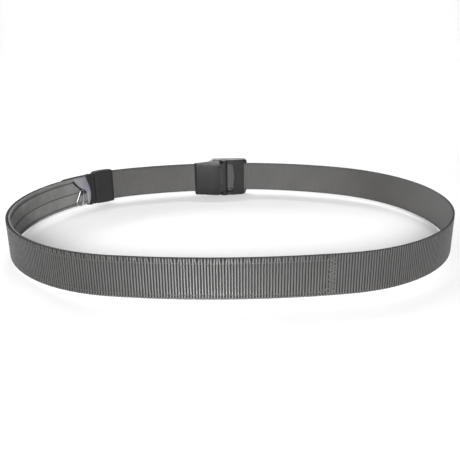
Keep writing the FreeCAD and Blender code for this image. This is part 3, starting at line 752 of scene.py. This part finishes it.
def make_coils():
    """Each coil is one spiral of nylon along its tape's edge, and the two mesh half a pitch apart."""
    path = pocket_path(BINDING_DEG[1] + 1.2, POCKET_END_X - 14.0 * MM)
    length = path_length(path)
    turns = np.arange(0.0, length / COIL_PITCH, 0.1)
    for name, side in (("upper", 1.0), ("lower", -1.0)):
        middle = ZIP_Z + side * COIL_SPACING / 2
        phase = 2 * math.pi * (turns + (0.5 if side > 0 else 0.0))
        heights = middle + COIL_HALF_HEIGHT * np.sin(phase)
        offsets = TAPE_OUTER + 0.5 * MM + COIL_HALF_DEPTH * np.cos(phase)
        route = lay(path, turns * COIL_PITCH, offsets, heights)
        coil = tubes("zip_coil_spiral_" + name, [route], COIL_WIRE, MATERIALS["zip_coil"], sides=5)
        fit(coil, "belt", "zip_coil", "zip_coil_" + name)


# ---- sleeves round the belt: the pocket's binding and the keeper ----
def round_outline(low_offset, high_offset, low, high, radius, corner_steps, side_steps):
    """A rounded rectangle as offset, height and its outward directions, anticlockwise."""
    spots = [(high_offset - radius, low + radius, -90), (high_offset - radius, high - radius, 0),
             (low_offset + radius, high - radius, 90), (low_offset + radius, low + radius, 180)]
    points = []
    for k, (x, z, start) in enumerate(spots):
        for step in range(corner_steps + 1):
            turn = math.radians(start + 90.0 * step / corner_steps)
            across, up = math.cos(turn), math.sin(turn)
            points.append((x + radius * across, z + radius * up, across, up))
        ahead = spots[(k + 1) % 4]
        turn = math.radians(start + 90.0)
        ax, az = x + radius * math.cos(turn), z + radius * math.sin(turn)
        bx, bz = ahead[0] + radius * math.cos(turn), ahead[1] + radius * math.sin(turn)
        count = side_steps if abs(bz - az) > abs(bx - ax) else 2
        for step in range(1, count):
            share = step / count
            points.append((ax + (bx - ax) * share, az + (bz - az) * share, math.cos(turn), math.sin(turn)))
    return np.array(points)


def cloth_sleeve(name, degrees, outline, wall, columns, material, swell):
    """A closed band of cloth round the belt. swell(share, height) lifts its outer skin."""
    start, end = degrees
    shares = np.linspace(0.0, 1.0, columns)
    lip = 0.4 * wall / END_RADIUS / math.radians(end - start)
    rings, uvs = [], []
    spans = np.concatenate([[0.0], np.cumsum(np.hypot(np.diff(outline[:, 0]), np.diff(outline[:, 1])))])
    for k, (x, z, nx, nz) in enumerate(outline):
        ring, marks = [], []
        for share in shares:
            lift = swell(share, z)
            edge = 0.35 * wall * (max(0.0, 1.0 - min(share, 1.0 - share) * columns / 2))
            ring.append((share, lift - edge))
        ring.append((1.0 + lip, -0.5 * wall))
        for share in shares[::-1]:
            ring.append((share, -wall))
        ring.append((-lip, -0.5 * wall))
        row = []
        for share, lift in ring:
            turn = start + (end - start) * share
            radius = END_RADIUS + x + nx * lift
            px, py = spot(LEFT_END, radius, turn)
            row.append((px, py, z + nz * lift))
            marks.append((share * math.radians(end - start) * END_RADIUS, spans[k]))
        rings.append(row)
        uvs.append(marks)
    rings, uvs = np.array(rings), np.array(uvs)
    return loft(name, rings, material, uvs, closed=True), float(spans[-1])


def ridge(value, middle, width):
    return math.exp(-((value - middle) / width) ** 2)


def binding_swell(share, height):
    """Upright creases, which wander with height, and a rolled edge on each side."""
    z = height / (9.0 * MM)
    wander = 0.10 * noise(z, 0.3, 2)
    creases = (0.55 * ridge(share, 0.20 + wander, 0.10) + 0.75 * ridge(share, 0.52 - wander, 0.11)
               + 0.50 * ridge(share, 0.80 + 0.6 * wander, 0.09) - 0.25)
    return (creases + 0.15 * noise(z * 2.0, share * 3.0, 4)) * 0.8 * MM


def upright_stitch(degrees, offset, lift, low):
    """The route of one stitch that runs upwards, at an angle on the left end."""
    heights = low + STITCH_SHAPE[:, 0] * 2.6 * MM
    radius = END_RADIUS + offset + lift * STITCH_SHAPE[:, 1] * 0.5 * MM
    x, y = spot(LEFT_END, radius, degrees)
    return np.column_stack([x, y, heights])


def make_binding():
    outline = round_outline(-3.75 * MM, 1.45 * MM, 3.85 * MM, 35.15 * MM, 0.9 * MM, 3, 14)
    binding, around = cloth_sleeve("pocket_end_binding_cloth", BINDING_DEG, outline, 0.6 * MM, 22,
                                   MATERIALS["black_binding"], binding_swell)
    fit(binding, "belt", "black_binding", "pocket_end_binding")
    routes = []
    for degrees in (BINDING_DEG[0] + 0.9, BINDING_DEG[1] - 0.7):
        for offset, lift in ((-4.15 * MM, -1.0), (1.85 * MM, 1.0)):
            routes += [upright_stitch(degrees, offset, lift, 5.6 * MM + 3.2 * MM * k) for k in range(9)]
    rows = tubes("binding_seams", routes, THREAD_RADIUS, MATERIALS["black_thread"])
    fit(rows, "belt", "black_thread", "binding_stitching")


def keeper_swell(share, height):
    """A soft crown, thicker towards the middle and a little uneven."""
    crown = 0.45 * (1.0 - (2.0 * share - 1.0) ** 2)
    return (crown + 0.10 * noise(share * 2.0, height / (8.0 * MM), 6)) * MM


def make_keeper():
    outline = round_outline(-2.35 * MM, 4.9 * MM, 3.0 * MM, 36.0 * MM, 1.1 * MM, 4, 12)
    keeper, around = cloth_sleeve("keeper_band", KEEPER_DEG, outline, 1.1 * MM, 26,
                                  MATERIALS["black_elastic"], keeper_swell)
    fit(keeper, "keeper", "black_elastic", "keeper_loop")


# ---- the tape's end, turned back beside the binding ----
# Places on its free and sewn edges: height in millimetres, and the angle on the left end in degrees.
FLAP_FREE = [(6.0, 134.7), (13.5, 134.9), (18.0, 135.0), (20.6, 135.9), (22.0, 137.2), (25.4, 139.0),
             (29.7, 140.7), (32.4, 141.3), (33.9, 141.0)]
FLAP_SEWN = [(5.8, 134.0), (11.0, 133.1), (17.0, 132.8), (23.0, 133.2), (29.0, 134.2), (34.2, 134.9)]
# The dark strip under the flap, sized by the second heights and the strip constants below, is painted shadow,
# not a layer of cloth.
FLAP_HEIGHTS, SHADOW_STRIP_HEIGHTS = np.linspace(6.0, 33.9, 60), np.linspace(21.9, 31.5, 60)
FLAP_LEVEL, FLAP_THICK, SHADOW_STRIP_LEVEL, SHADOW_STRIP_THICK = -4.45, 0.4, -3.65, 0.25    # millimetres
SHADOW_STRIP_WIDER = 1.15                                                             # degrees


def flap_edge(pairs, heights):
    """An edge's angle at each height: its few places joined, and then smoothed over seven heights."""
    places, degrees = np.array(pairs).T
    weights = np.array([1, 2, 3, 4, 3, 2, 1]) / 16.0
    joined = np.interp(heights, places, degrees)
    return np.convolve(np.pad(joined, 3, mode="edge"), weights, mode="valid")


def end_cloth(name, heights, widen, level, thick, material):
    """Cloth between the free edge, moved on by widen, and the sewn edge, at level's offsets."""
    shares = np.linspace(0.0, 1.0, 16)
    free, seam_shade_heights = flap_edge(FLAP_FREE, heights) + widen, flap_edge(FLAP_SEWN, heights)
    rings, uvs = [], []
    for z, left, right in zip(heights, free, seam_shade_heights):
        degrees = left + (right - left) * shares
        offset = level(z, shares, degrees, left - right)
        both = np.concatenate([offset - thick / 2, (offset + thick / 2)[::-1]]) * MM
        turned = np.radians(np.concatenate([degrees, degrees[::-1]]))
        rings.append(np.column_stack([LEFT_END[0] + (END_RADIUS + both) * np.cos(turned),
                                      LEFT_END[1] + (END_RADIUS + both) * np.sin(turned),
                                      np.full(len(both), z * MM)]))
        uvs.append(np.column_stack([np.full(len(both), z * MM), turned * END_RADIUS]))
    return loft(name, np.array(rings), material, np.array(uvs))


def flap_level(z, shares, degrees, width):
    """The flap bulges between its edges, curls at the free one and lies closer to the belt at the top."""
    bulge = 0.9 * np.sin(math.pi * shares) ** 0.8 * min(1.0, 0.35 + width / 8.0)
    curl = 0.35 * np.exp(-(shares / 0.12) ** 2)
    uneven = 0.12 * np.array([noise(z / 4.0, d * 0.6, 9) for d in degrees])
    closer = 0.8 * np.clip((z - 29.0) / 5.0, 0.0, 1.0) * (1.0 - shares)
    return FLAP_LEVEL - bulge + curl + uneven + closer


def shadow_strip_level(z, shares, degrees, width):
    return np.full(len(shares), SHADOW_STRIP_LEVEL)


def make_flap():
    flap = end_cloth("tape_end_turned_back", FLAP_HEIGHTS, 0.0, flap_level, FLAP_THICK,
                     MATERIALS["flap_tape"])
    fit(flap, "belt", "flap_tape", "tape_end_flap")


def make_shadow_strip():
    """A dark strip of painted shadow under the flap's free edge, showing as an edge beyond the flap."""
    shadow_strip = end_cloth("tape_end_painted_shadow", SHADOW_STRIP_HEIGHTS, SHADOW_STRIP_WIDER, shadow_strip_level,
                         SHADOW_STRIP_THICK, MATERIALS["lining"])
    fit(shadow_strip, "belt", "lining")


# ---- hard parts: softened edges on the buckle, and materials on the nodes that stay ----
def softened(node, name, body, slot, width):
    """A copy of a hard node with rounded edges; width is how far in from an edge the rounding starts."""
    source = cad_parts[node].data.copy()
    work = bmesh.new()
    work.from_mesh(source)
    bmesh.ops.remove_doubles(work, verts=work.verts, dist=0.001 * MM)
    bmesh.ops.dissolve_limit(work, angle_limit=math.radians(1.0), verts=work.verts, edges=work.edges)
    work.to_mesh(source)
    work.free()
    copy = bpy.data.objects.new(name, source)
    bpy.context.scene.collection.objects.link(copy)
    bevel = copy.modifiers.new("edges", "BEVEL")
    bevel.width = width
    bevel.segments = 3
    bevel.limit_method = "ANGLE"
    bevel.angle_limit = math.radians(32.0)
    bevel.harden_normals = True
    bevel.use_clamp_overlap = True
    source.polygons.foreach_set("use_smooth", [True] * len(source.polygons))
    source.set_sharp_from_angle(angle=math.radians(35.0))
    source.materials.clear()
    source.materials.append(MATERIALS[slot])
    return fit(copy, body, slot, node)


def finish_node(node, slot):
    """Gives a node that stays its material."""
    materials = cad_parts[node].data.materials
    if len(materials) == 0:
        materials.append(MATERIALS[slot])
    for k in range(len(materials)):
        materials[k] = MATERIALS[slot]


def make_hard_parts():
    softened("buckle_frame", "buckle_frame_moulded", "belt", "buckle_plastic", 0.45 * MM)
    softened("buckle_lever", "buckle_lever_moulded", "lever", "buckle_plastic", 0.45 * MM)
    softened("zip_slider", "zip_slider_cast", "slider", "zip_metal", 0.18 * MM)
    for node, slot in (("pivot_pin", "pin_steel"), ("zip_top_stops", "zip_metal"),
                       ("zip_bottom_stop", "zip_metal"), ("zip_puller", "puller_wire"),
                       ("fixed_end_stitching", "black_thread")):
        finish_node(node, slot)


make_webbing()
make_seams()
make_bar_tack()
make_pocket()
make_coils()
make_binding()
make_keeper()
make_flap()
make_shadow_strip()
make_hard_parts()


# ---- camera, light and floor ----
FOCAL_PIXELS, PICTURE = 560.0, 460.0
CAMERA_ELEVATION, CAMERA_DISTANCE, CAMERA_ROLL = 18.58, 486.3 * MM, -0.68
PICTURE_SHIFT = -14.3 / PICTURE


def make_camera():
    data = bpy.data.cameras.new("camera")
    data.sensor_width = 36.0
    data.lens = FOCAL_PIXELS * data.sensor_width / PICTURE
    data.shift_y = PICTURE_SHIFT
    data.clip_start = 0.01
    camera = bpy.data.objects.new("camera", data)
    bpy.context.scene.collection.objects.link(camera)
    tilt = math.radians(CAMERA_ELEVATION)
    target = Vector((CENTRE_X, CENTRE_Y, MID_Z))
    back = Vector((0.0, -math.cos(tilt), math.sin(tilt)))
    turn = Matrix.Rotation(math.radians(90.0 - CAMERA_ELEVATION), 4, "X") @ Matrix.Rotation(
        math.radians(CAMERA_ROLL), 4, "Z")
    camera.matrix_world = Matrix.Translation(target + back * CAMERA_DISTANCE) @ turn
    bpy.context.scene.camera = camera


def area_light(name, place, target, size, watts):
    data = bpy.data.lights.new(name, "AREA")
    data.shape = "DISK"
    data.size = size
    data.energy = watts
    light = bpy.data.objects.new(name, data)
    light.location = place
    light.rotation_euler = (Vector(target) - Vector(place)).to_track_quat("-Z", "Y").to_euler()
    bpy.context.scene.collection.objects.link(light)


LOOP_MIDDLE = (0.0, 0.0, 0.02)
# Each light's name, place, target, width in metres and watts.
LIGHTS = [
    ("front", (0.0, -1.2, 0.45), LOOP_MIDDLE, 0.35, 26.5),
    ("top", (0.1, 0.1, 1.3), LOOP_MIDDLE, 0.9, 3.0),
    ("left_back", (-0.9, 0.9, 0.5), LOOP_MIDDLE, 0.4, 6.0),
    ("back", (-0.45, 1.2, 0.5), LOOP_MIDDLE, 0.4, 3.0),
    ("left", (-1.2, 0.3, 0.45), LOOP_MIDDLE, 0.4, 1.5),
    ("wall", (0.0, 1.2, 1.6), (0.0, 2.4, 0.4), 1.0, 40.0),
]
FLOOR_SIDE, WALL_Y, WALL_BEND, WALL_HEIGHT = 6.0, 2.6, 0.8, 2.4
WORLD_STRENGTH = 0.06


def make_floor():
    """A pale floor that curves up into a back wall."""
    flat_end = WALL_Y - WALL_BEND
    profile = [(-FLOOR_SIDE, 0.0), (flat_end, 0.0)]
    for degrees in range(10, 91, 10):
        turn = math.radians(degrees)
        profile.append((flat_end + WALL_BEND * math.sin(turn), WALL_BEND - WALL_BEND * math.cos(turn)))
    profile.append((WALL_Y, WALL_HEIGHT))
    corners = [(x, y, z) for y, z in profile for x in (-FLOOR_SIDE, FLOOR_SIDE)]
    faces = [(2 * k, 2 * k + 1, 2 * k + 3, 2 * k + 2) for k in range(len(profile) - 1)]
    n = Nodes("studio_floor")
    speckle = n.noise(n.place(), 40.0)
    n.set(Base_Color=n.ramp(speckle, [(0.0, grey(0.90)), (1.0, grey(0.93))]), Roughness=0.9)
    floor = new_object("floor", corners, faces, n.material)


def make_world():
    world = bpy.data.worlds.new("studio")
    world.use_nodes = True
    background = world.node_tree.nodes["Background"]
    background.inputs["Color"].default_value = (1.0, 1.0, 1.0, 1.0)
    background.inputs["Strength"].default_value = WORLD_STRENGTH
    bpy.context.scene.world = world


make_camera()
make_floor()
make_world()
for light in LIGHTS:
    area_light(*light)
bpy.context.scene.view_settings.view_transform = "Standard"
